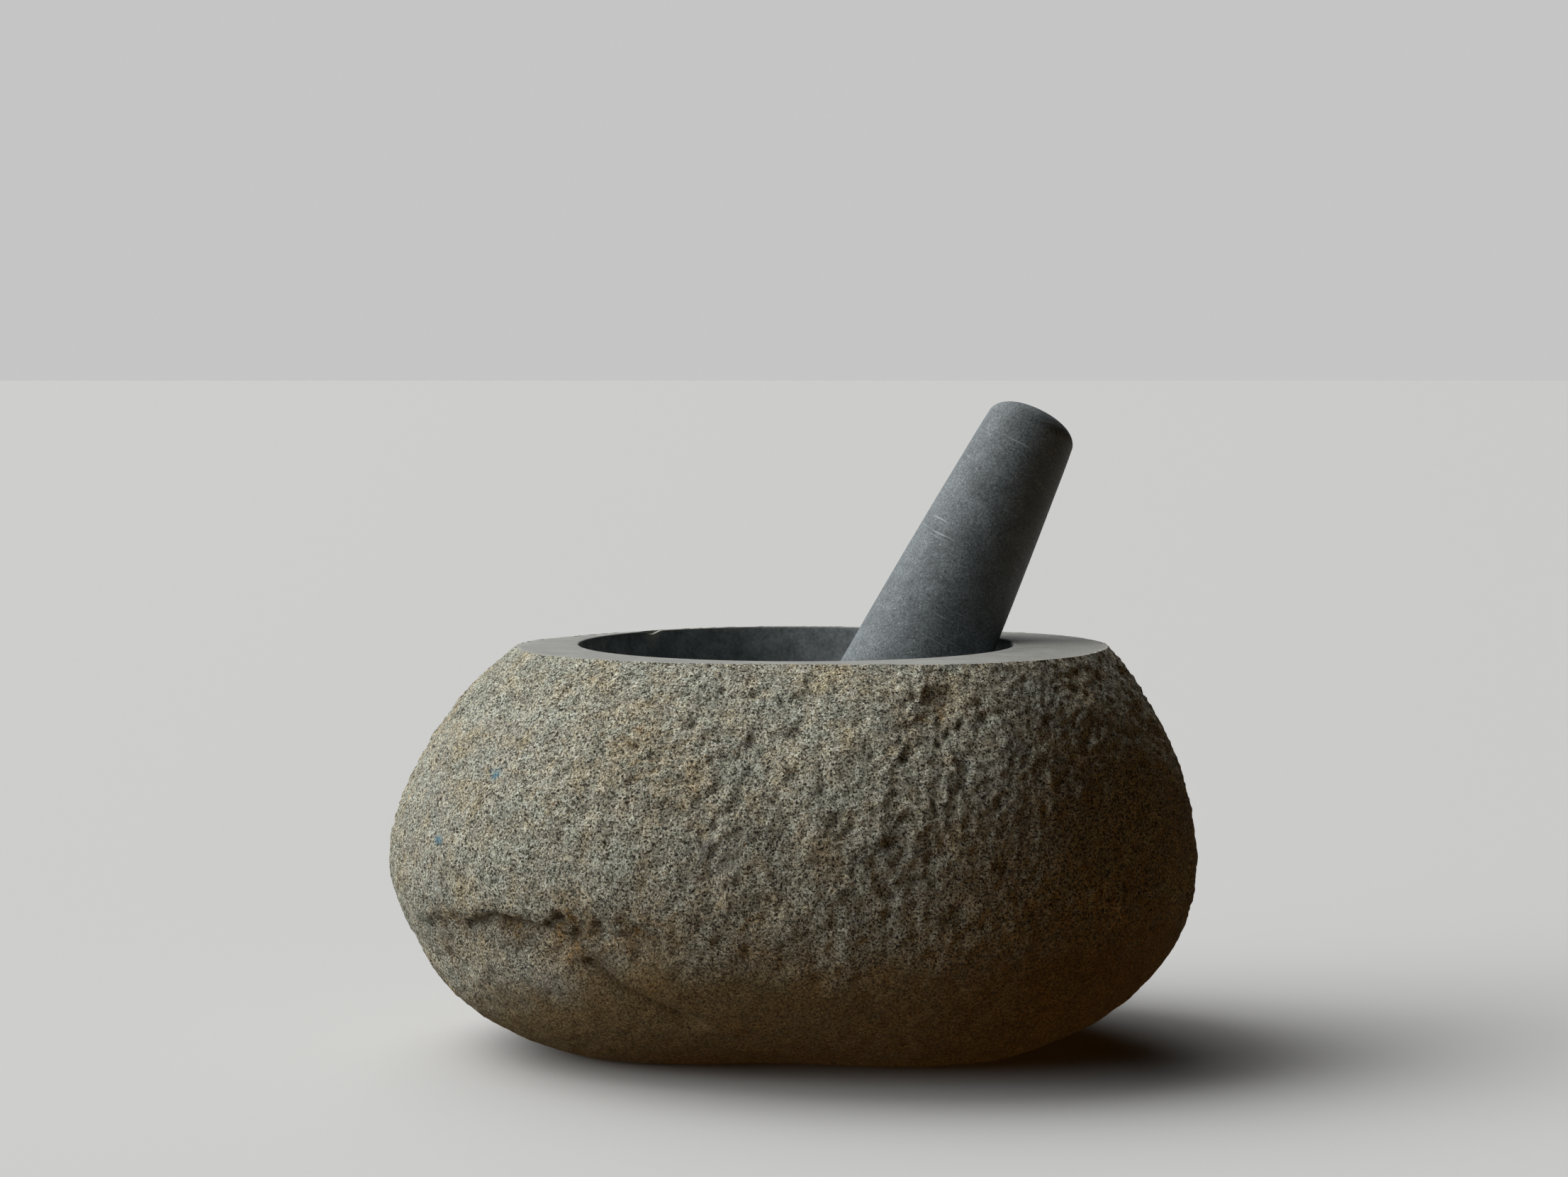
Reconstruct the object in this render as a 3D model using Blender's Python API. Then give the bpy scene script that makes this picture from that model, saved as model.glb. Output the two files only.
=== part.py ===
"""A molcajete made from a river boulder: a mortar, sawn flat and hollowed, and its loose pestle.

The origin is on the surface that the mortar rests on, straight under the middle of its bowl.
+X is to the right, +Y to the back and +Z up. All lengths are in metres and bearings in degrees,
anticlockwise from +X as seen from above.
"""

import bisect
import math

import bmesh
import bpy

# The boulder: its sawn top, and its widest level.
RIM_HEIGHT = 0.108
WAIST_HEIGHT = 0.050

# How far the boulder reaches from the axis of its bowl at three levels: (bearing, reach).
RIM_OUTLINE = [
    (0, 0.0845), (15, 0.0812), (28, 0.0755), (42, 0.0672), (60, 0.0630), (90, 0.0620),
    (135, 0.0615), (150, 0.0645), (165, 0.0700), (180, 0.0762), (205, 0.0790),
    (230, 0.0752), (266, 0.0700), (285, 0.0733), (308, 0.0832), (330, 0.0870), (348, 0.0858),
]
WAIST_OUTLINE = [
    (0, 0.1095), (30, 0.1035), (60, 0.0930), (90, 0.0890), (120, 0.0925), (150, 0.1035),
    (180, 0.1112), (210, 0.1115), (240, 0.1065), (270, 0.1030), (300, 0.1065), (330, 0.1105),
]
BASE_OUTLINE = [
    (0, 0.054), (50, 0.049), (90, 0.044), (130, 0.047), (180, 0.052), (218, 0.060),
    (265, 0.040), (312, 0.061), (335, 0.058),
]

# The skin runs up from the base in a quarter ellipse, and on to the rim in this much of another.
SHOULDER_TURN = math.radians(43)

# Broad lumps and hollows in the skin: (bearing, height, half-width, half-height, swell).
LUMPS = [
    (236, 0.072, 0.030, 0.022, 0.0016),
    (282, 0.066, 0.026, 0.018, 0.0014),
    (262, 0.088, 0.018, 0.012, -0.0010),
    (192, 0.028, 0.050, 0.014, -0.0022),
    (185, 0.086, 0.050, 0.022, -0.0024),
    (0, 0.098, 0.045, 0.020, -0.0016),
    (75, 0.060, 0.034, 0.022, 0.0014),
    (128, 0.044, 0.026, 0.018, -0.0014),
]

# The bowl: turned, steep at its mouth and round at its floor.
BOWL_RADIUS = 0.0595
BOWL_DEPTH = 0.0658
BOWL_SQUARENESS = 2.6
BOWL_FLOOR_RADIUS = 0.004

# The pestle: turned, with a round grinding end and a barrel taper up to a low dome.
PESTLE_LENGTH = 0.141
PESTLE_RADIUS = 0.021
PESTLE_TAPER = 0.048
PESTLE_BARREL = 0.214
PESTLE_DOME_HEIGHT = 0.007
PESTLE_DOME_SQUARENESS = 2.3

# Where the pestle leans: its axis crosses the rim's plane this far from the bowl's axis.
LEAN_BEARING = 20.5
LEAN_ANGLE = 28.0
LEAN_REACH = 0.0391
PESTLE_BELOW_RIM = 0.070

# Facets.
MORTAR_COLUMNS = 96
BELLY_ROWS = 14
SHOULDER_ROWS = 13
BOWL_ROWS = 13
PESTLE_COLUMNS = 48
PESTLE_END_ROWS = 8
PESTLE_SHAFT_ROWS = 8
SHARP_EDGE = math.radians(35)


def clear_scene():
    for old in list(bpy.data.objects):
        bpy.data.objects.remove(old)


def stone(name, colour, roughness):
    material = bpy.data.materials.new(name)
    material.use_nodes = True
    shader = material.node_tree.nodes["Principled BSDF"]
    shader.inputs["Base Color"].default_value = (*colour, 1.0)
    shader.inputs["Roughness"].default_value = roughness
    shader.inputs["Metallic"].default_value = 0.0
    return material


def reach_at(outline, bearing):
    """The reach of a closed natural outline at a bearing, on a smooth curve through its points."""
    bearing %= 360
    after = bisect.bisect_right([point[0] for point in outline], bearing)
    count = len(outline)

    def point(index):
        turns, place = divmod(index, count)
        return outline[place][0] + 360 * turns, outline[place][1]

    (b0, r0), (b1, r1), (b2, r2), (b3, r3) = (point(after + shift) for shift in (-2, -1, 0, 1))
    span = b2 - b1
    share = (bearing - b1) / span
    slope_1 = (r2 - r0) / (b2 - b0) * span
    slope_2 = (r3 - r1) / (b3 - b1) * span
    return (
        r1 * (2 * share**3 - 3 * share**2 + 1)
        + slope_1 * (share**3 - 2 * share**2 + share)
        + r2 * (3 * share**2 - 2 * share**3)
        + slope_2 * (share**3 - share**2)
    )


def swell_at(bearing, height, reach):
    """How far the broad lumps push the skin out at a place on the boulder."""
    total = 0.0
    for lump_bearing, lump_height, half_width, half_height, swell in LUMPS:
        turn = math.radians((bearing - lump_bearing + 180) % 360 - 180)
        across = turn * reach / half_width
        up = (height - lump_height) / half_height
        total += swell * math.exp(-(across**2) - up**2)
    return total


def ring(columns, reach_of, height):
    """A level loop of points, anticlockwise from above."""
    points = []
    for column in range(columns):
        bearing = 360 * column / columns
        reach = reach_of(bearing)
        turn = math.radians(bearing)
        points.append((reach * math.cos(turn), reach * math.sin(turn), height))
    return points


def skin_ring(lower, upper, share, height):
    """A loop of the boulder's skin, some share of the way out from one outline to another."""

    def reach_of(bearing):
        start, end = reach_at(lower, bearing), reach_at(upper, bearing)
        reach = start + (end - start) * share
        fade = math.sin(math.pi * height / RIM_HEIGHT)
        return reach + swell_at(bearing, height, reach) * fade

    return ring(MORTAR_COLUMNS, reach_of, height)


def belly_rings():
    """From the flat base up to the waist."""
    rings = []
    for row in range(BELLY_ROWS):
        turn = math.pi / 2 * row / BELLY_ROWS
        height = WAIST_HEIGHT * (1 - math.cos(turn))
        rings.append(skin_ring(BASE_OUTLINE, WAIST_OUTLINE, math.sin(turn), height))
    return rings


def shoulder_rings():
    """From the waist up to the sawn rim."""
    rings = []
    for row in range(SHOULDER_ROWS + 1):
        turn = SHOULDER_TURN * row / SHOULDER_ROWS
        inward = (1 - math.cos(turn)) / (1 - math.cos(SHOULDER_TURN))
        up = math.sin(turn) / math.sin(SHOULDER_TURN)
        height = WAIST_HEIGHT + (RIM_HEIGHT - WAIST_HEIGHT) * up
        rings.append(skin_ring(WAIST_OUTLINE, RIM_OUTLINE, inward, height))
    return rings


def bowl_rings():
    """From the bowl's mouth down to the edge of its small flat floor."""
    last_turn = math.acos((BOWL_FLOOR_RADIUS / BOWL_RADIUS) ** (BOWL_SQUARENESS / 2))
    rings = []
    for row in range(BOWL_ROWS + 1):
        turn = last_turn * row / BOWL_ROWS
        radius = BOWL_RADIUS * math.cos(turn) ** (2 / BOWL_SQUARENESS)
        depth = BOWL_DEPTH * math.sin(turn) ** (2 / BOWL_SQUARENESS)
        rings.append(ring(MORTAR_COLUMNS, lambda bearing, r=radius: r, RIM_HEIGHT - depth))
    return rings


def pestle_rings():
    """From the grinding end up to the dome, about the pestle's own axis."""
    profile = []
    for row in range(1, PESTLE_END_ROWS):
        turn = math.pi / 2 * row / PESTLE_END_ROWS
        profile.append((PESTLE_RADIUS * math.sin(turn), PESTLE_RADIUS * (1 - math.cos(turn))))

    shaft_length = PESTLE_LENGTH - PESTLE_RADIUS - PESTLE_DOME_HEIGHT
    for row in range(PESTLE_SHAFT_ROWS):
        along = shaft_length * row / PESTLE_SHAFT_ROWS
        profile.append((shaft_radius(along), PESTLE_RADIUS + along))

    dome_radius = shaft_radius(shaft_length)
    for row in range(PESTLE_END_ROWS):
        turn = math.pi / 2 * row / PESTLE_END_ROWS
        radius = dome_radius * math.cos(turn) ** (2 / PESTLE_DOME_SQUARENESS)
        rise = PESTLE_DOME_HEIGHT * math.sin(turn) ** (2 / PESTLE_DOME_SQUARENESS)
        profile.append((radius, PESTLE_LENGTH - PESTLE_DOME_HEIGHT + rise))

    return [ring(PESTLE_COLUMNS, lambda bearing, r=radius: r, up) for radius, up in profile]


def shaft_radius(along):
    return PESTLE_RADIUS - PESTLE_TAPER * along - PESTLE_BARREL * along**2


def loft(name, rings, material, bottom=None, top=None):
    """One closed body through level rings. An end with a point is pulled to it, others are flat."""
    mesh = bmesh.new()
    loops = [[mesh.verts.new(point) for point in points] for points in rings]
    columns = len(loops[0])
    for lower, upper in zip(loops, loops[1:]):
        for column in range(columns):
            beside = (column + 1) % columns
            mesh.faces.new((lower[column], lower[beside], upper[beside], upper[column]))
    close_end(mesh, loops[0][::-1], bottom)
    close_end(mesh, loops[-1], top)

    data = bpy.data.meshes.new(name)
    mesh.to_mesh(data)
    mesh.free()
    data.shade_smooth()
    data.set_sharp_from_angle(angle=SHARP_EDGE)
    data.materials.append(material)
    made = bpy.data.objects.new(name, data)
    bpy.context.scene.collection.objects.link(made)
    return made


def close_end(mesh, loop, tip):
    if tip is None:
        mesh.faces.new(loop)
        return
    pole = mesh.verts.new(tip)
    for here, beside in zip(loop, loop[1:] + loop[:1]):
        mesh.faces.new((here, beside, pole))


def make_mortar():
    skin = stone("weathered_boulder", (0.27, 0.25, 0.20), 0.92)
    return loft("mortar", belly_rings() + shoulder_rings() + bowl_rings(), skin)


def make_pestle():
    slate = stone("honed_slate", (0.085, 0.095, 0.095), 0.55)
    made = loft("pestle", pestle_rings(), slate, (0, 0, 0), (0, 0, PESTLE_LENGTH))
    lean, bearing = math.radians(LEAN_ANGLE), math.radians(LEAN_BEARING)
    reach = LEAN_REACH - PESTLE_BELOW_RIM * math.sin(lean)
    height = RIM_HEIGHT - PESTLE_BELOW_RIM * math.cos(lean)
    made.location = (reach * math.cos(bearing), reach * math.sin(bearing), height)
    made.rotation_euler = (0, lean, bearing)
    return made


clear_scene()
make_mortar()
make_pestle()
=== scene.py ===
"""The looks of a molcajete: a river boulder with a sawn rim and a turned bowl, and its stone pestle.

Lengths are in metres. +Z is up and runs through the middle of the bowl, and the camera looks along +Y.
Bearings are in degrees, anticlockwise from +X as seen from above.
"""
import math

import bpy
import numpy as np
from mathutils import Euler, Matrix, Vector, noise


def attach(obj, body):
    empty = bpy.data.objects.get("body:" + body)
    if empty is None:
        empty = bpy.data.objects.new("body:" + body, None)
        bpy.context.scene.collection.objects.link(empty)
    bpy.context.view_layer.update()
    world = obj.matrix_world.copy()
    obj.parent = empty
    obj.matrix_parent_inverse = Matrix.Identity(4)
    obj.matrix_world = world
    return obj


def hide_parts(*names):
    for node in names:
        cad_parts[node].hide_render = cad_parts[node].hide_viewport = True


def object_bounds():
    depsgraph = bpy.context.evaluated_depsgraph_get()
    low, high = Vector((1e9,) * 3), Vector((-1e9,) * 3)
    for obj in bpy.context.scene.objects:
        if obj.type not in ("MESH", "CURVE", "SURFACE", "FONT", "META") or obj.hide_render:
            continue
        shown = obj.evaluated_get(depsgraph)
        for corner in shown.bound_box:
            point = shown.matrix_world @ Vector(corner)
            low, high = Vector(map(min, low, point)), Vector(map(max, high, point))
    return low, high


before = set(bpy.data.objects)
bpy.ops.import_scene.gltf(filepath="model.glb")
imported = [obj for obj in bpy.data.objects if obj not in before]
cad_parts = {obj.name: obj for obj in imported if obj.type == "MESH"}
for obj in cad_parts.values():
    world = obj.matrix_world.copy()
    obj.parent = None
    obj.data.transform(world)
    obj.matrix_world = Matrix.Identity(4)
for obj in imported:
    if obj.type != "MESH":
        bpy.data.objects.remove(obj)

CAD_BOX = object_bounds()

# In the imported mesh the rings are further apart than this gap, and the bowl's points lie within this
# reach of its axis and above this floor.
RING_GAP = 0.00005
BOWL_REACH = 0.0597
BOWL_FLOOR = 0.042

# The pestle's lean, as in the CAD model.
LEAN_BEARING = 20.5
LEAN_ANGLE = 28.0

# How fine the shown meshes are.
MORTAR_COLUMNS = 960
SKIN_CELL = 0.00072
SMALLEST_CELL = 0.0005
BOWL_CELL = 0.0012
BASE_ROWS = 16
FLOOR_ROWS = 4
PESTLE_COLUMNS = 280
PESTLE_CELL = 0.0005

# The pestle's rows narrower than this give way to the point at each end.
PESTLE_POLE = 0.0003

# How the skin's noise fades and shrinks from octave to octave, how deep all of the skin is cut, how
# many pocks it has, and how much smoother it is on its belly.
OCTAVE_FADE = 0.9
OCTAVE_STEP = 2.1
LEAST_CUT = 0.0007
POCKS = 1300
EARTH_SMOOTHING = 0.70

# The bowl's edge is rounded off over this width, and the rim has rows this far from both of its edges,
# closer where the rim is thin.
EDGE_ROUND = 0.0005
THIN_RIM = 0.0026
EDGE_STEPS = np.array([0.0001, 0.0002, 0.00032, 0.00048, 0.0007, 0.001])
RIM_MIDDLE_ROWS = 14

# A chip in the thin back of the rim.
NOTCH_BEARING = 133.0
NOTCH_WIDTH = 0.0022
NOTCH_DEPTH = 0.0009

# Where the skin is scooped, pitted or pierced: (bearing, height, half-width, depth).
HOLLOWS = [
    (225.4, 0.0405, 0.0022, 0.0012), (231.3, 0.0400, 0.0018, 0.0009),
    (235.3, 0.0440, 0.0022, 0.0010), (237.4, 0.0398, 0.0018, 0.0012),
    (241.0, 0.0420, 0.0018, 0.0007), (214.5, 0.0403, 0.0020, 0.0011),
    (208.6, 0.0290, 0.0022, 0.0014), (211.0, 0.0340, 0.0016, 0.0009),
    (247.0, 0.0395, 0.0042, 0.0010), (252.5, 0.0370, 0.0016, 0.0007),
    (258.8, 0.0392, 0.0018, 0.0009), (262.5, 0.0380, 0.0014, 0.0007),
    (295.4, 0.1006, 0.0046, 0.0014), (297.8, 0.1022, 0.0024, 0.0008),
    (277.8, 0.0700, 0.0016, 0.0011), (283.0, 0.0650, 0.0015, 0.0009),
    (287.0, 0.0860, 0.0013, 0.0008), (243.0, 0.0660, 0.0015, 0.0010),
    (211.0, 0.0790, 0.0028, 0.0012), (207.5, 0.0440, 0.0022, 0.0012),
]

# The lip of the split along the lower left of the front, the fold below it, and the hairline crack
# under the rim: (bearing, height).
LIP_LINE = [(200, 0.036), (207, 0.0385), (218, 0.0415), (228, 0.0435), (240, 0.0430), (252, 0.0415)]
FOLD_PATH = [
    (236.5, 0.0335), (239.4, 0.0314), (243.0, 0.0250), (246.9, 0.0212), (251.6, 0.0170), (256.0, 0.0140),
]
CRACK_PATH = [(268.7, 0.1003), (271.1, 0.1018), (274.5, 0.1020), (279.9, 0.1021), (282.0, 0.1011)]

# Coloured marks on the skin: (bearing, height, half-width, strength).
STAINS = [
    (237, 0.0405, 0.009, 0.9), (226, 0.0400, 0.005, 0.8), (215, 0.0400, 0.004, 0.7),
    (247, 0.0395, 0.008, 0.7), (244, 0.0885, 0.012, 0.45), (252, 0.0780, 0.010, 0.35),
    (293.5, 0.0970, 0.004, 0.9), (288, 0.0960, 0.003, 0.5), (296, 0.1010, 0.005, 0.6),
    (273, 0.0640, 0.008, 0.4), (307, 0.0440, 0.026, 0.55), (323, 0.0400, 0.030, 0.8),
    (316, 0.0780, 0.012, 0.4), (340, 0.0600, 0.030, 0.5), (209, 0.0300, 0.005, 0.5),
    (262, 0.0450, 0.012, 0.4), (20, 0.0600, 0.030, 0.4), (75, 0.0700, 0.020, 0.4),
    (110, 0.0450, 0.030, 0.5), (160, 0.0600, 0.020, 0.4),
]
PALE_SPOTS = [
    (231, 0.0262, 0.0045, 1.0), (258.5, 0.0610, 0.0060, 0.8), (210.8, 0.0487, 0.0040, 0.9),
    (217, 0.0850, 0.014, 0.4), (300, 0.0760, 0.012, 0.35), (206, 0.0700, 0.020, 0.4),
    (285, 0.0600, 0.008, 0.4), (50, 0.0500, 0.015, 0.4), (140, 0.0800, 0.012, 0.5),
]
BLUE_SPECKS = [
    (220.0, 0.0791, 0.0013, 1.0), (219.0, 0.0797, 0.0008, 0.8),
    (210.3, 0.0610, 0.0009, 0.9), (211.6, 0.0608, 0.0008, 0.8),
]

# Below this line the boulder is smoother, and darker and browner, partly from soil stain and partly
# from painted shade of its underside and painted warm light bounced from below: (bearing, height).
EARTH_AND_SHADE_LINE = [
    (20, 0.030), (90, 0.030), (150, 0.026), (180, 0.018), (200, 0.016), (215, 0.022), (225, 0.025),
    (232, 0.029), (238, 0.035), (252, 0.037), (270, 0.036), (292, 0.036), (310, 0.039), (335, 0.040),
]

# The size of the skin's grains in its material.
GRAIN = 0.00050

# The camera: its place, how far it looks down, and its lens in millimetres.
CAMERA_PLACE = (-0.0034, -1.2, 0.2037)
CAMERA_PITCH = 3.85
CAMERA_SENSOR = 36
CAMERA_LENS = 100.97
FLOOR_REACH = 9

# The soft window light from the left, and the warm glow off a table below: (bearing, elevation,
# spread, strength). The camera sees a wall of this grey.
LOBES = [(115, 43, 38, 2.1), (156, 48, 30, 5.2), (184, 33, 27, 3.4), (202, 15, 30, 4.0)]
GLOW = [(340, -25, 50, 0.19), (270, -60, 50, 0.15), (290, -5, 40, 0.03)]
GLOW_COLOUR = (1.0, 0.58, 0.22)
WALL = 0.56

# ---------------------------------------------------------------- finer copies of the CAD surfaces


def cad_points(node):
    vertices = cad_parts[node].data.vertices
    points = np.empty(len(vertices) * 3)
    vertices.foreach_get("co", points)
    return points.reshape(-1, 3)


def rings_of(points):
    """The level rings of a turned or lofted surface, from the lowest, each in order of bearing."""
    points = np.unique(points.round(7), axis=0)
    points = points[np.argsort(points[:, 2], kind="stable")]
    cuts = np.nonzero(np.diff(points[:, 2]) > RING_GAP)[0] + 1
    rings = []
    for ring in np.split(points, cuts):
        bearing = (np.arctan2(ring[:, 1], ring[:, 0]) + 0.001) % math.tau
        ring = ring[np.argsort(bearing)]
        bearing = np.sort(bearing)
        rings.append(ring[np.append(True, np.diff(bearing) > 0.01)])
    return rings


def finer_columns(rings, columns):
    """The same rings with more points, on the smooth closed curve through each."""
    waves = np.fft.rfft(rings, axis=1)
    padded = np.zeros((rings.shape[0], columns // 2 + 1, 3), complex)
    padded[:, : waves.shape[1]] = waves
    return np.fft.irfft(padded, columns, axis=1) * (columns / rings.shape[1])


def finer_rows(rings, cell):
    """Rows about a cell apart, on smooth curves through the rings."""
    steps = np.linalg.norm(np.diff(rings, axis=0), axis=2).mean(axis=1)
    along = np.concatenate([[0], np.cumsum(steps)])
    slopes = np.gradient(rings, along, axis=0, edge_order=2)
    places = np.linspace(0, along[-1], int(along[-1] / cell) + 1)
    before = np.clip(np.searchsorted(along, places, side="right") - 1, 0, len(along) - 2)
    span = steps[before][:, None, None]
    share = ((places - along[before]) / steps[before])[:, None, None]
    return (
        rings[before] * (2 * share**3 - 3 * share**2 + 1)
        + slopes[before] * span * (share**3 - 2 * share**2 + share)
        + rings[before + 1] * (3 * share**2 - 2 * share**3)
        + slopes[before + 1] * span * (share**3 - share**2)
    )


def turned_profile(points):
    """The profile of a turned surface about the Z axis, from its lowest ring."""
    rings = rings_of(points)
    return np.array([[[np.hypot(r[:, 0], r[:, 1]).mean(), 0.0, r[:, 2].mean()]] for r in rings])


def turned_rows(profile, columns):
    """The rows that a profile leaves as it turns about the Z axis."""
    turns = np.arange(columns) * math.tau / columns
    reach = profile[:, :1, 0]
    heights = np.repeat(profile[:, :1, 2], columns, axis=1)
    return np.stack([reach * np.cos(turns), reach * np.sin(turns), heights], axis=-1)


def normals_of(grid):
    """Outward normals of rows that run up and round anticlockwise."""
    round_step = np.roll(grid, -1, axis=1) - np.roll(grid, 1, axis=1)
    normals = np.cross(round_step, np.gradient(grid, axis=0))
    return normals / np.maximum(np.linalg.norm(normals, axis=2, keepdims=True), 1e-12)


def smooth_step(low, high, value):
    share = np.clip((value - low) / (high - low), 0, 1)
    return share * share * (3 - 2 * share)


def field(points, cell, octaves, seed):
    """Smooth noise at each point, mostly from -1 to 1, with features about a cell across."""
    flat = (points.reshape(-1, 3) / cell + seed).tolist()
    values = [noise.fractal(point, OCTAVE_FADE, OCTAVE_STEP, octaves) for point in flat]
    return np.array(values).reshape(points.shape[:-1])


def closed_mesh(name, rows, first_pole, last_pole, materials, row_materials):
    """One closed body through rows of equal length, with a pole at each end."""
    count, columns = rows.shape[:2]
    points = np.concatenate([rows.reshape(-1, 3), [first_pole], [last_pole]])
    row, column = np.meshgrid(np.arange(count - 1), np.arange(columns), indexing="ij")
    here = (row * columns + column).ravel()
    beside = (row * columns + (column + 1) % columns).ravel()
    quads = np.stack([here, beside, beside + columns, here + columns], 1)
    ring = np.arange(columns)
    turn = np.roll(ring, -1)
    last = (count - 1) * columns
    first_fan = np.stack([turn, ring, np.full(columns, count * columns)], 1)
    last_fan = np.stack([last + ring, last + turn, np.full(columns, count * columns + 1)], 1)

    mesh = bpy.data.meshes.new(name)
    mesh.from_pydata(points.tolist(), [], quads.tolist() + first_fan.tolist() + last_fan.tolist())
    for material in materials:
        mesh.materials.append(material)
    if row_materials is not None:
        fans = np.repeat([row_materials[0], row_materials[-1]], columns)
        slots = np.concatenate([np.repeat(row_materials, columns), fans])
        mesh.polygons.foreach_set("material_index", slots.astype(np.int32))
    mesh.shade_smooth()
    made = bpy.data.objects.new(name, mesh)
    bpy.context.scene.collection.objects.link(made)
    return made


def paint(piece, name, values):
    """Stores a number from 0 to 1 at each point, for the material to read. The poles get none."""
    flat = np.append(values.ravel(), [0, 0]).astype(np.float32)
    layer = piece.data.attributes.new(name, "FLOAT", "POINT")
    layer.data.foreach_set("value", flat)


# ---------------------------------------------------------------- the mortar


def mortar_sections():
    """The skin, from the base's edge up to the rim, and the bowl, from its mouth down."""
    points = cad_points("mortar")
    reach = np.hypot(points[:, 0], points[:, 1])
    in_bowl = (reach < BOWL_REACH) & (points[:, 2] > BOWL_FLOOR)
    skin = finer_columns(np.array(rings_of(points[~in_bowl])), MORTAR_COLUMNS)
    profile = turned_profile(points[in_bowl])[::-1]
    bowl = turned_rows(finer_rows(profile, BOWL_CELL), MORTAR_COLUMNS)
    return finer_rows(skin, SKIN_CELL), bowl


def bearings_of(points):
    return np.degrees(np.arctan2(points[..., 1], points[..., 0])) % 360


def skin_point(skin, bearing, height):
    """The point of the skin nearest to a height at a bearing."""
    column = round(bearing / 360 * MORTAR_COLUMNS) % MORTAR_COLUMNS
    row = np.abs(skin[:, column, 2] - height).argmin()
    return skin[row, column]


def distance_to_path(points, path):
    """How far each point is from a path of straight runs, and how far along it, from 0 to 1."""
    nearest = np.full(points.shape[:-1], np.inf)
    along = np.zeros(points.shape[:-1])
    for index, (start, end) in enumerate(zip(path, path[1:])):
        run = end - start
        share = np.clip(((points - start) @ run) / (run @ run), 0, 1)
        distance = np.linalg.norm(points - start - share[..., None] * run, axis=-1)
        closer = distance < nearest
        nearest[closer] = distance[closer]
        along[closer] = ((index + share) / (len(path) - 1))[closer]
    return nearest, along


def broken_relief(skin):
    """The weathered relief of the boulder: soft swells, craggy patches, and grit."""
    swells = field(skin, 0.024, 2, 3.1)
    patches = field(skin, 0.0085, 3, 7.7)
    crags = field(skin, 0.0040, 3, 1.3)
    grit = field(skin, 0.0017, 3, 5.9)
    craggy = smooth_step(-0.3, 0.3, field(skin, 0.028, 2, 9.4))
    return (0.0006 * swells + (0.0003 + 0.0003 * craggy) * patches
            + (0.0002 + 0.0004 * craggy) * crags + 0.00035 * grit)


def hollow_relief(skin):
    """Separate hollows, with ragged outlines."""
    ragged = 1 + 0.6 * field(skin, 0.0034, 3, 2.2)
    cut = np.zeros(skin.shape[:2])
    for bearing, height, half_width, depth in HOLLOWS:
        distance = np.linalg.norm(skin - skin_point(skin, bearing, height), axis=-1)
        cut = np.maximum(cut, depth * np.exp(-((distance * ragged / half_width) ** 2) ** 1.3))
    return cut


def pock_relief(skin):
    """Small pocks scattered over the skin."""
    rng = np.random.default_rng(11)
    cut = np.zeros(skin.shape[:2])
    for _ in range(POCKS):
        row = int(rng.integers(20, len(skin) - 4))
        column = int(rng.integers(0, MORTAR_COLUMNS))
        half_width = 0.0007 + 0.0012 * rng.random() ** 2
        depth = half_width * rng.uniform(0.35, 0.7)
        reach = int(3 * half_width / SMALLEST_CELL) + 2
        rows = np.arange(max(row - reach, 0), min(row + reach, len(skin)))
        columns = np.arange(column - reach, column + reach) % MORTAR_COLUMNS
        window = np.ix_(rows, columns)
        distance = np.linalg.norm(skin[window] - skin[row, column], axis=-1)
        cut[window] = np.maximum(cut[window], depth * np.exp(-((distance / half_width) ** 2)))
    return cut


def ledge_relief(skin):
    """The split along the lower left of the front, where the skin steps in under a ragged lip."""
    bearing = bearings_of(skin)
    lip = np.interp(bearing, *zip(*LIP_LINE))
    lip = lip + 0.0022 * field(skin * [1, 1, 0.2], 0.011, 3, 4.4)
    below = lip - skin[..., 2]
    step = smooth_step(-0.0035, 0.0030, below) * (1 - smooth_step(0.004, 0.018, below))
    share = smooth_step(199, 211, bearing) * (1 - smooth_step(232, 256, bearing))
    crevice = np.exp(-(((below - 0.0010) / 0.0018) ** 2))
    gaps = smooth_step(-0.15, 0.30, field(skin, 0.0055, 3, 9.1))
    return share * (0.0016 * step + 0.0017 * crevice * gaps)


def fold_relief(skin):
    """The smooth fold that runs down to the right below the split."""
    path = [skin_point(skin, *place) for place in FOLD_PATH]
    distance, along = distance_to_path(skin, path)
    fade = smooth_step(0, 0.15, along) * (1 - smooth_step(0.75, 1, along))
    valley = 0.0010 * np.exp(-((distance / 0.0038) ** 2))
    crease = 0.0016 * np.exp(-((distance / 0.0011) ** 2))
    return fade * (valley + crease)


def crack_relief(skin):
    """A hairline crack under the front of the rim."""
    path = [skin_point(skin, *place) for place in CRACK_PATH]
    distance, along = distance_to_path(skin, path)
    return 0.0005 * np.exp(-((distance / 0.0007) ** 2)) * smooth_step(0, 0.1, along)


def marked(skin, marks, ragged):
    """How strongly each point bears some marks, with ragged outlines."""
    share = np.zeros(skin.shape[:2])
    for bearing, height, half_width, strength in marks:
        distance = np.linalg.norm(skin - skin_point(skin, bearing, height), axis=-1)
        share = np.maximum(share, strength * np.exp(-((distance / half_width) ** 2)))
    return np.clip(share * (1 + ragged), 0, 1)


def earthy_and_shaded(skin):
    """How smooth, dark and brown each point is, from soil stain and from painted shade and painted warm
    bounce light: the belly, up to a wandering line.
    """
    line = np.interp(bearings_of(skin), *zip(*EARTH_AND_SHADE_LINE), period=360)
    above = skin[..., 2] - line + 0.007 * field(skin, 0.016, 4, 6.6)
    return 1 - smooth_step(-0.012, 0.009, above)


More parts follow.
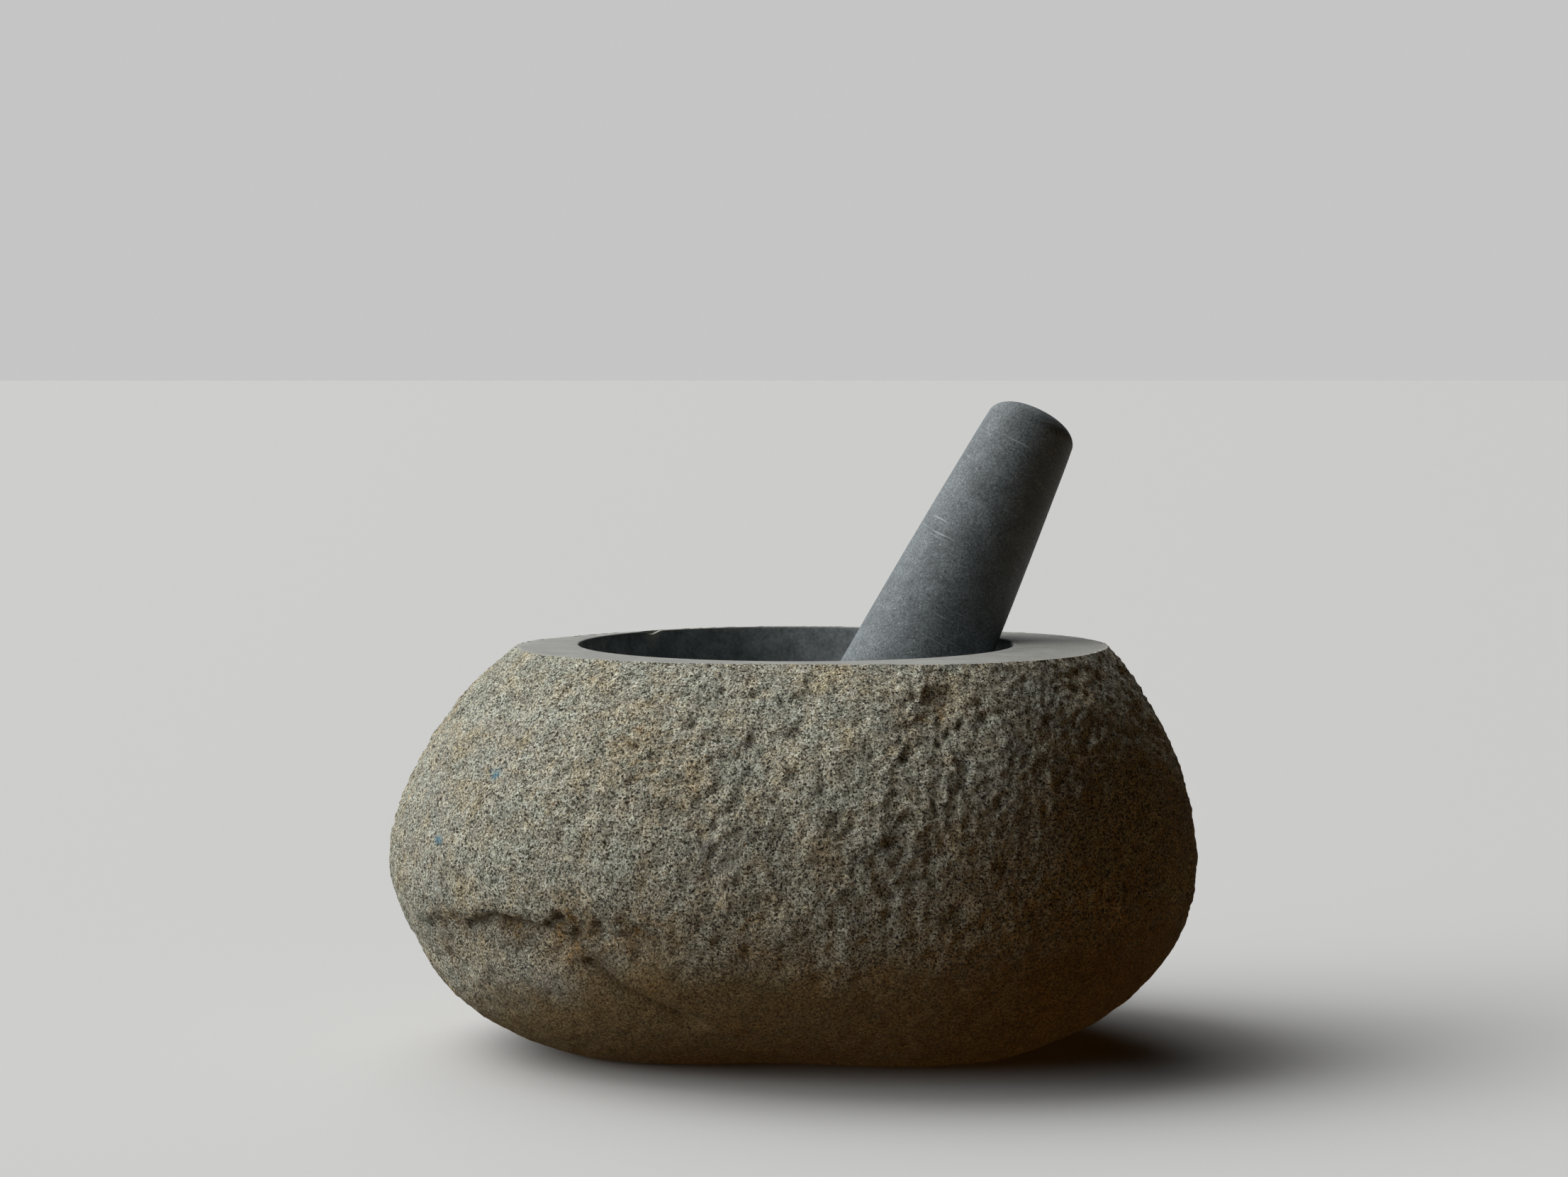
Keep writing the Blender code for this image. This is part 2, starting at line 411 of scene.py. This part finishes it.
def weathered(skin):
    """The skin with its relief, which only cuts into the CAD surface, and how deep each point is cut."""
    height = skin[..., 2]
    rough_share = 1 - EARTH_SMOOTHING * earthy_and_shaded(skin)
    cut = rough_share * (broken_relief(skin) + pock_relief(skin)) + LEAST_CUT
    cut = cut + hollow_relief(skin) + ledge_relief(skin) + fold_relief(skin) + crack_relief(skin)
    cut = np.maximum(cut, 0) * smooth_step(0, 0.004, height)

    direction = -normals_of(skin)
    level = smooth_step(0.100, 0.108, height)[..., None]
    direction[..., 2:] *= 1 - level
    direction /= np.linalg.norm(direction, axis=-1, keepdims=True)
    return skin + direction * cut[..., None], cut


def rounded_rim(outer, mouth):
    """Rows from the skin's top row to the bowl's mouth, and how far each point is from the first.

    The inner edge is rounded off, and the outer one is chipped.
    """
    inward = mouth - outer
    width = np.linalg.norm(inward, axis=-1, keepdims=True)
    inward = inward / width
    squeeze = np.minimum(1, width / THIN_RIM)
    steps = EDGE_STEPS[:, None, None] * squeeze
    shares = np.linspace(0, 1, RIM_MIDDLE_ROWS + 2)[1:-1, None, None]
    near = outer + inward * steps
    middle = near[-1] + (width - 2 * steps[-1]) * inward * shares
    far = mouth - inward * steps[::-1]
    drop = np.maximum(EDGE_ROUND - EDGE_STEPS[::-1], 0) ** 2 / (2 * EDGE_ROUND)
    far[..., 2] -= drop[:, None]
    rows = np.concatenate([near, middle, far])
    chipped = np.clip(field(rows, 0.0022, 2, 12.3) - 0.10, 0, 1) * 2.2
    apart = np.linalg.norm(rows - outer, axis=-1)
    rows[..., 2] -= 0.0007 * chipped * np.exp(-((apart / 0.0008) ** 2))
    rows[..., 2] -= rim_notch(rows)
    return rows, apart


def rim_notch(points):
    """A small chip in the thin back of the rim."""
    turn = math.radians(NOTCH_BEARING)
    top = points[..., 2].max()
    centre = np.array([BOWL_REACH * math.cos(turn), BOWL_REACH * math.sin(turn), top])
    distance = np.linalg.norm(points - centre, axis=-1)
    return NOTCH_DEPTH * np.exp(-((distance / NOTCH_WIDTH) ** 2))


def make_mortar(materials):
    """One closed body, in rows from the middle of its base up the skin, over the rim and down the bowl."""
    smooth_skin, bowl = mortar_sections()
    skin, cut = weathered(smooth_skin)
    rim, from_edge = rounded_rim(skin[-1], bowl[0])
    bowl[0, :, 2] -= EDGE_ROUND / 2
    bowl[..., 2] -= rim_notch(bowl)
    base = skin[0] * np.linspace(0, 1, BASE_ROWS + 2)[1:-1, None, None]
    centre = np.array([0.0, 0.0, bowl[-1, 0, 2]])
    floor = centre + (bowl[-1] - centre) * np.linspace(1, 0, FLOOR_ROWS + 2)[1:-1, None, None]
    rows = np.clip(np.concatenate([base, skin, rim, bowl, floor]), *CAD_BOX)
    rim_row = len(base) + len(skin)
    bowl_row = rim_row + len(rim)
    row_materials = np.digitize(np.arange(len(rows) - 1), [rim_row - 1, bowl_row])
    piece = closed_mesh("boulder_mortar", rows, (0, 0, 0), centre, materials, row_materials)
    paint_skin(piece, smooth_skin, cut, len(base), len(rows) - rim_row)
    paint_wear(piece, rows, from_edge, rim_row)
    sharpen_row(piece, rim_row - 1)
    return piece


def paint_skin(piece, skin, cut, rows_before, rows_after):
    """Stores what the skin's material reads. The other rows repeat the skin's first and last rows."""
    ragged = 1.2 * field(skin, 0.0028, 3, 15.5)
    for name, values in (
        ("cut", np.clip(cut / 0.003, 0, 1)),
        ("stain", marked(skin, STAINS, ragged)),
        ("pale", marked(skin, PALE_SPOTS, ragged)),
        ("blue", marked(skin, BLUE_SPECKS, ragged)),
        ("earth_and_shade", earthy_and_shaded(skin)),
    ):
        paint(piece, name, np.pad(values, ((rows_before, rows_after), (0, 0)), "edge"))


def paint_wear(piece, rows, from_edge, rim_row):
    """Stores where lighter, broken stone shows: along the rim's outer edge, and in its chip."""
    worn = 0.8 * rim_notch(rows) / NOTCH_DEPTH
    worn[rim_row:rim_row + len(from_edge)] += np.exp(-from_edge / 0.0007)
    paint(piece, "worn", np.clip(worn, 0, 1))


def sharpen_row(piece, row):
    """Marks the edges along one row as sharp."""
    edges = piece.data.edges
    ends = np.empty(len(edges) * 2, np.int32)
    edges.foreach_get("vertices", ends)
    on_row = (ends.reshape(-1, 2) // MORTAR_COLUMNS == row).all(axis=1)
    piece.data.attributes.new("sharp_edge", "BOOLEAN", "EDGE").data.foreach_set("value", on_row)


# ---------------------------------------------------------------- the pestle


def make_pestle(materials):
    """The pestle, turned upright from its profile in the CAD model and leaned back."""
    tilt = np.array(Euler((0, math.radians(LEAN_ANGLE), math.radians(LEAN_BEARING))).to_matrix())
    level = cad_points("pestle") @ tilt
    middle = (level.min(axis=0) + level.max(axis=0)) / 2
    middle[2] = level[:, 2].min()
    profile = turned_profile(level - middle)
    profile[0, 0, 0] = profile[-1, 0, 0] = 0
    mirror = np.array([-1, 1, 1])
    whole = np.concatenate([profile[1:2] * mirror, profile, profile[-2:-1] * mirror])
    steps = finer_rows(whole, PESTLE_CELL)
    rows = turned_rows(steps[steps[:, 0, 0] > PESTLE_POLE], PESTLE_COLUMNS)
    back = tilt.T
    first = (profile[0, 0] + middle) @ back
    last = (profile[-1, 0] + middle) @ back
    rows = (rows + middle) @ back
    return closed_mesh("leaning_pestle", rows, first, last, materials, None)


# ---------------------------------------------------------------- materials


def feed(tree, socket, source):
    """Links a socket to a source, or gives it a value."""
    if isinstance(source, bpy.types.NodeSocket):
        tree.links.new(source, socket)
    elif socket.type == "RGBA":
        socket.default_value = (*source, 1)
    else:
        socket.default_value = source


def add_node(tree, kind, inputs=None, **settings):
    made = tree.nodes.new(kind)
    for name, value in settings.items():
        setattr(made, name, value)
    for name, source in (inputs or {}).items():
        feed(tree, made.inputs[name], source)
    return made


class Graph:
    """A material's node tree, built from its patterns to its shader."""

    def __init__(self, name, roughness, specular=0.5):
        self.material = bpy.data.materials.new(name)
        self.material.use_nodes = True
        self.tree = self.material.node_tree
        self.shader = self.tree.nodes["Principled BSDF"]
        self.shader.inputs["Roughness"].default_value = roughness
        self.shader.inputs["Specular IOR Level"].default_value = specular
        self.place = self.add("ShaderNodeTexCoord").outputs["Object"]

    def add(self, kind, inputs=None, **settings):
        return add_node(self.tree, kind, inputs, **settings)

    def noise(self, size, detail, roughness, distortion=0.0, place=None):
        """Smooth noise from 0 to 1, with features about a size across."""
        return self.add("ShaderNodeTexNoise", {
            "Vector": place or self.place, "Scale": 1 / size, "Detail": detail,
            "Roughness": roughness, "Distortion": distortion,
        }).outputs["Fac"]

    def cells(self, output):
        made = self.add("ShaderNodeTexVoronoi", {"Vector": self.place, "Scale": 1 / GRAIN})
        return made.outputs[output]

    def ramp(self, value, *stops):
        """A colour or grey that follows a value through (value, colour) stops."""
        made = self.add("ShaderNodeValToRGB", {"Fac": value})
        elements = made.color_ramp.elements
        while len(elements) < len(stops):
            elements.new(0.5)
        for element, (position, colour) in zip(elements, stops):
            element.position = position
            grey = not isinstance(colour, tuple)
            element.color = (colour, colour, colour, 1) if grey else (*colour, 1)
        return made.outputs["Color"]

    def mix(self, share, first, second, blend="MIX"):
        inputs = {0: share, 6: first, 7: second}
        return self.add("ShaderNodeMix", inputs, data_type="RGBA", blend_type=blend).outputs[2]

    def math(self, operation, first, second):
        return self.add("ShaderNodeMath", {0: first, 1: second}, operation=operation).outputs[0]

    def attribute(self, name):
        return self.add("ShaderNodeAttribute", attribute_name=name).outputs["Fac"]

    def bump(self, height):
        """Turns a height in metres into the shader's normal."""
        made = self.add("ShaderNodeBump", {"Height": height, "Strength": 1.0, "Distance": 1.0})
        feed(self.tree, self.shader.inputs["Normal"], made.outputs["Normal"])

    def colour(self, source):
        feed(self.tree, self.shader.inputs["Base Color"], source)


def boulder_skin():
    """Pale grains with painted shade in the gaps between them, patches of warm and cool grey, brown
    stains, and painted shade in cuts and on the belly.
    """
    graph = Graph("river_boulder_skin", 0.95, 0.2)
    grain = graph.add("ShaderNodeSeparateColor", {"Color": graph.cells("Color")}).outputs["Red"]
    colour = graph.ramp(grain, (0.0, (0.12, 0.11, 0.08)), (0.22, (0.50, 0.475, 0.385)),
                        (0.7, (0.82, 0.79, 0.665)), (1.0, (1.0, 1.0, 0.90)))
    fine = graph.ramp(graph.noise(0.00034, 2, 0.6), (0.3, 0.5), (0.7, 1.5))
    colour = graph.mix(1.0, colour, fine, "MULTIPLY")
    patches = graph.ramp(graph.noise(0.006, 5, 0.7), (0.34, 0.84), (0.66, 1.40))
    colour = graph.mix(1.0, colour, patches, "MULTIPLY")
    tint = graph.ramp(graph.noise(0.010, 5, 0.75, 0.4), (0.40, (0.95, 1.0, 0.97)),
                      (0.53, (1.01, 0.99, 0.92)), (0.66, (1.08, 0.97, 0.76)))
    colour = graph.mix(1.0, colour, tint, "MULTIPLY")
    pale = graph.math("MULTIPLY", graph.attribute("pale"), 0.45)
    colour = graph.mix(pale, colour, (0.74, 0.76, 0.73))
    # Painted shade: near-black in the gaps between the grains, where the grains shade each other.
    gaps = graph.ramp(graph.noise(0.00062, 3, 0.75), (0.41, 0.98), (0.47, 0.0))
    colour = graph.mix(gaps, colour, (0.035, 0.028, 0.018))
    # Painted shade: near-black specks standing for shade inside small holes in the skin.
    shaded_pores = graph.ramp(graph.noise(0.0017, 3, 0.65), (0.29, 0.95), (0.36, 0.0))
    colour = graph.mix(shaded_pores, colour, (0.045, 0.030, 0.016))
    rust = graph.ramp(graph.noise(0.0030, 5, 0.85), (0.59, 0.0), (0.68, 0.7))
    colour = graph.mix(rust, colour, (0.40, 0.235, 0.08))
    uneven = graph.ramp(graph.noise(0.003, 4, 0.75), (0.35, 0.35), (0.6, 1.0))
    stain = graph.math("MULTIPLY", graph.attribute("stain"), uneven)
    stained = graph.mix(1.0, colour, (0.72, 0.47, 0.20), "MULTIPLY")
    colour = graph.mix(stain, colour, stained)
    # Painted shade: darker where the skin is cut deepest, in its hollows, split, fold and crack.
    deep = graph.ramp(graph.attribute("cut"), (0.5, 0.0), (1.0, 0.45))
    colour = graph.mix(deep, colour, (0.12, 0.08, 0.045))
    # Painted shade and painted warm light bounced from below, mixed with soil stain: the belly darker,
    # browner and less grainy.
    earth_and_shade = graph.attribute("earth_and_shade")
    colour = graph.mix(graph.math("MULTIPLY", earth_and_shade, 0.35), colour, (0.45, 0.42, 0.33))
    colour = graph.mix(earth_and_shade, colour, graph.mix(1.0, colour, (0.56, 0.43, 0.265), "MULTIPLY"))
    colour = graph.mix(graph.math("MULTIPLY", graph.attribute("blue"), 0.8), colour, (0.12, 0.42, 0.60))
    graph.colour(colour)
    relief = graph.math("MULTIPLY", graph.noise(0.00065, 4, 0.75), 0.0025)
    crags = graph.math("MULTIPLY", graph.noise(0.0024, 4, 0.7), 0.0022)
    pebbles = graph.math("MULTIPLY", graph.cells("Distance"), -0.00028)
    total = graph.math("ADD", graph.math("ADD", relief, crags), pebbles)
    smoothed = graph.math("SUBTRACT", 1.0, graph.math("MULTIPLY", earth_and_shade, 0.5))
    graph.bump(graph.math("MULTIPLY", total, smoothed))
    return graph.material


def sawn_stone():
    """The pale, honed rim, with open grain and broken, lighter stone along its edge."""
    graph = Graph("sawn_rim", 0.55, 0.4)
    speck = graph.ramp(graph.noise(0.0007, 3, 0.7), (0.30, 0.72), (0.45, 0.98), (0.70, 1.2))
    patch = graph.ramp(graph.noise(0.011, 4, 0.6, 0.6), (0.32, 0.82), (0.68, 1.14))
    colour = graph.mix(1.0, (0.235, 0.235, 0.215), speck, "MULTIPLY")
    colour = graph.mix(1.0, colour, patch, "MULTIPLY")
    colour = graph.mix(graph.math("MULTIPLY", graph.attribute("worn"), 0.6), colour, (0.50, 0.48, 0.41))
    graph.colour(colour)
    graph.bump(graph.math("MULTIPLY", graph.noise(0.0006, 3, 0.7), 0.00008))
    return graph.material


def bowl_stone():
    """The dark, turned bowl, with pale dust in its grain."""
    graph = Graph("turned_bowl", 0.62, 0.35)
    speck = graph.ramp(graph.noise(0.0009, 3, 0.7), (0.30, 0.68), (0.70, 1.35))
    patch = graph.ramp(graph.noise(0.006, 4, 0.65), (0.30, 0.62), (0.70, 1.45))
    colour = graph.mix(1.0, (0.18, 0.20, 0.20), speck, "MULTIPLY")
    colour = graph.mix(1.0, colour, patch, "MULTIPLY")
    colour = graph.mix(graph.math("MULTIPLY", graph.attribute("worn"), 0.9), colour, (0.60, 0.56, 0.42))
    graph.colour(colour)
    graph.bump(graph.math("MULTIPLY", graph.noise(0.0008, 3, 0.65), 0.00010))
    return graph.material


def pestle_stone():
    """Honed blue-grey stone with fine pale and dark grains, handling marks and light scratches."""
    graph = Graph("turned_pestle", 0.62, 0.25)
    along = graph.add("ShaderNodeMapping", {
        "Vector": graph.place, "Rotation": (0, -math.radians(LEAN_ANGLE), 0),
    }).outputs["Vector"]
    speck = graph.ramp(graph.noise(0.00055, 3, 0.75), (0.32, 0.40), (0.50, 1.0), (0.70, 1.75))
    patch = graph.ramp(graph.noise(0.007, 5, 0.7, 0.5), (0.32, 0.68), (0.68, 1.25))
    colour = graph.mix(1.0, (0.118, 0.136, 0.142), speck, "MULTIPLY")
    colour = graph.mix(1.0, colour, patch, "MULTIPLY")
    grains = graph.ramp(graph.noise(0.0010, 2, 0.5), (0.66, 0.0), (0.72, 0.6))
    colour = graph.mix(grains, colour, (0.34, 0.37, 0.37))
    holes = graph.ramp(graph.noise(0.0016, 2, 0.5, place=along), (0.26, 0.7), (0.31, 0.0))
    colour = graph.mix(holes, colour, (0.03, 0.032, 0.033))
    scratches = scratch_marks(graph, along)
    colour = graph.mix(graph.math("MULTIPLY", scratches, 0.6), colour, (0.36, 0.39, 0.40))
    graph.colour(colour)
    relief = graph.math("MULTIPLY", graph.noise(0.0006, 4, 0.7), 0.00014)
    graph.bump(graph.math("ADD", relief, graph.math("MULTIPLY", scratches, -0.00003)))
    return graph.material


def scratch_marks(graph, place):
    """Thin short strokes in two directions, gathered in patches."""
    total = None
    for turn, seed in ((0.5, 3.0), (-0.35, 8.0)):
        stretched = graph.add("ShaderNodeMapping", {
            "Vector": place, "Location": (seed, 0, 0),
            "Rotation": (0.3, turn, 0.2), "Scale": (0.045, 0.045, 1.0),
        }).outputs["Vector"]
        lines = graph.ramp(graph.noise(0.0005, 1, 0.4, place=stretched), (0.71, 0.0), (0.75, 1.0))
        total = lines if total is None else graph.math("MAXIMUM", total, lines)
    patches = graph.ramp(graph.noise(0.016, 2, 0.5), (0.46, 0.0), (0.60, 1.0))
    return graph.math("MULTIPLY", total, patches)


def plain(name, colour, roughness):
    material = bpy.data.materials.new(name)
    material.use_nodes = True
    shader = material.node_tree.nodes["Principled BSDF"]
    shader.inputs["Base Color"].default_value = (*colour, 1)
    shader.inputs["Roughness"].default_value = roughness
    return material


# ---------------------------------------------------------------- studio


def make_camera():
    camera = bpy.data.cameras.new("camera")
    camera.sensor_width = CAMERA_SENSOR
    camera.lens = CAMERA_LENS
    made = bpy.data.objects.new("camera", camera)
    made.location = CAMERA_PLACE
    made.rotation_euler = (math.radians(90 - CAMERA_PITCH), 0, 0)
    bpy.context.scene.collection.objects.link(made)
    bpy.context.scene.camera = made


def make_floor():
    mesh = bpy.data.meshes.new("floor")
    corners = [(FLOOR_REACH * x, FLOOR_REACH * y, 0) for x, y in ((-1, -1), (1, -1), (1, 1), (-1, 1))]
    mesh.from_pydata(corners, [], [(0, 1, 2, 3)])
    mesh.materials.append(plain("pale_floor", (0.52, 0.52, 0.51), 0.9))
    floor = bpy.data.objects.new("floor", mesh)
    bpy.context.scene.collection.objects.link(floor)
    floor.visible_diffuse = False


def glow_from(tree, lobes, colour):
    """A world background that is bright only towards some directions."""
    place = add_node(tree, "ShaderNodeTexCoord").outputs["Generated"]
    total = 0.0
    for bearing, elevation, spread, strength in lobes:
        turn, lift = math.radians(bearing), math.radians(elevation)
        towards = (math.cos(lift) * math.cos(turn), math.cos(lift) * math.sin(turn), math.sin(lift))
        closeness = add_node(tree, "ShaderNodeVectorMath", {0: place, 1: towards}, operation="DOT_PRODUCT")
        lobe = add_node(tree, "ShaderNodeMapRange", {
            "Value": closeness.outputs["Value"], "From Min": math.cos(math.radians(spread)),
            "From Max": 1.0, "To Max": strength,
        }, interpolation_type="SMOOTHSTEP").outputs["Result"]
        total = add_node(tree, "ShaderNodeMath", {0: total, 1: lobe}, operation="ADD").outputs[0]
    return add_node(tree, "ShaderNodeBackground", {"Color": colour, "Strength": total}).outputs[0]


def make_light():
    """The camera sees a plain wall all round, and the light comes from the lobes."""
    world = bpy.data.worlds.new("studio")
    bpy.context.scene.world = world
    world.use_nodes = True
    tree = world.node_tree
    window = glow_from(tree, LOBES, (1, 1, 1))
    table = glow_from(tree, GLOW, GLOW_COLOUR)
    light = add_node(tree, "ShaderNodeAddShader", {0: window, 1: table}).outputs[0]
    wall = tree.nodes["Background"]
    wall.inputs["Color"].default_value = (WALL, WALL, WALL, 1)
    seen = add_node(tree, "ShaderNodeLightPath").outputs["Is Camera Ray"]
    choose = add_node(tree, "ShaderNodeMixShader", {0: seen, 1: light, 2: wall.outputs[0]})
    feed(tree, tree.nodes["World Output"].inputs["Surface"], choose.outputs[0])
    bpy.context.scene.view_settings.view_transform = "Standard"


mortar = make_mortar([boulder_skin(), sawn_stone(), bowl_stone()])
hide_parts("mortar")
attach(mortar, "mortar")

pestle = make_pestle([pestle_stone()])
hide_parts("pestle")
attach(pestle, "pestle")

make_camera()
make_floor()
make_light()
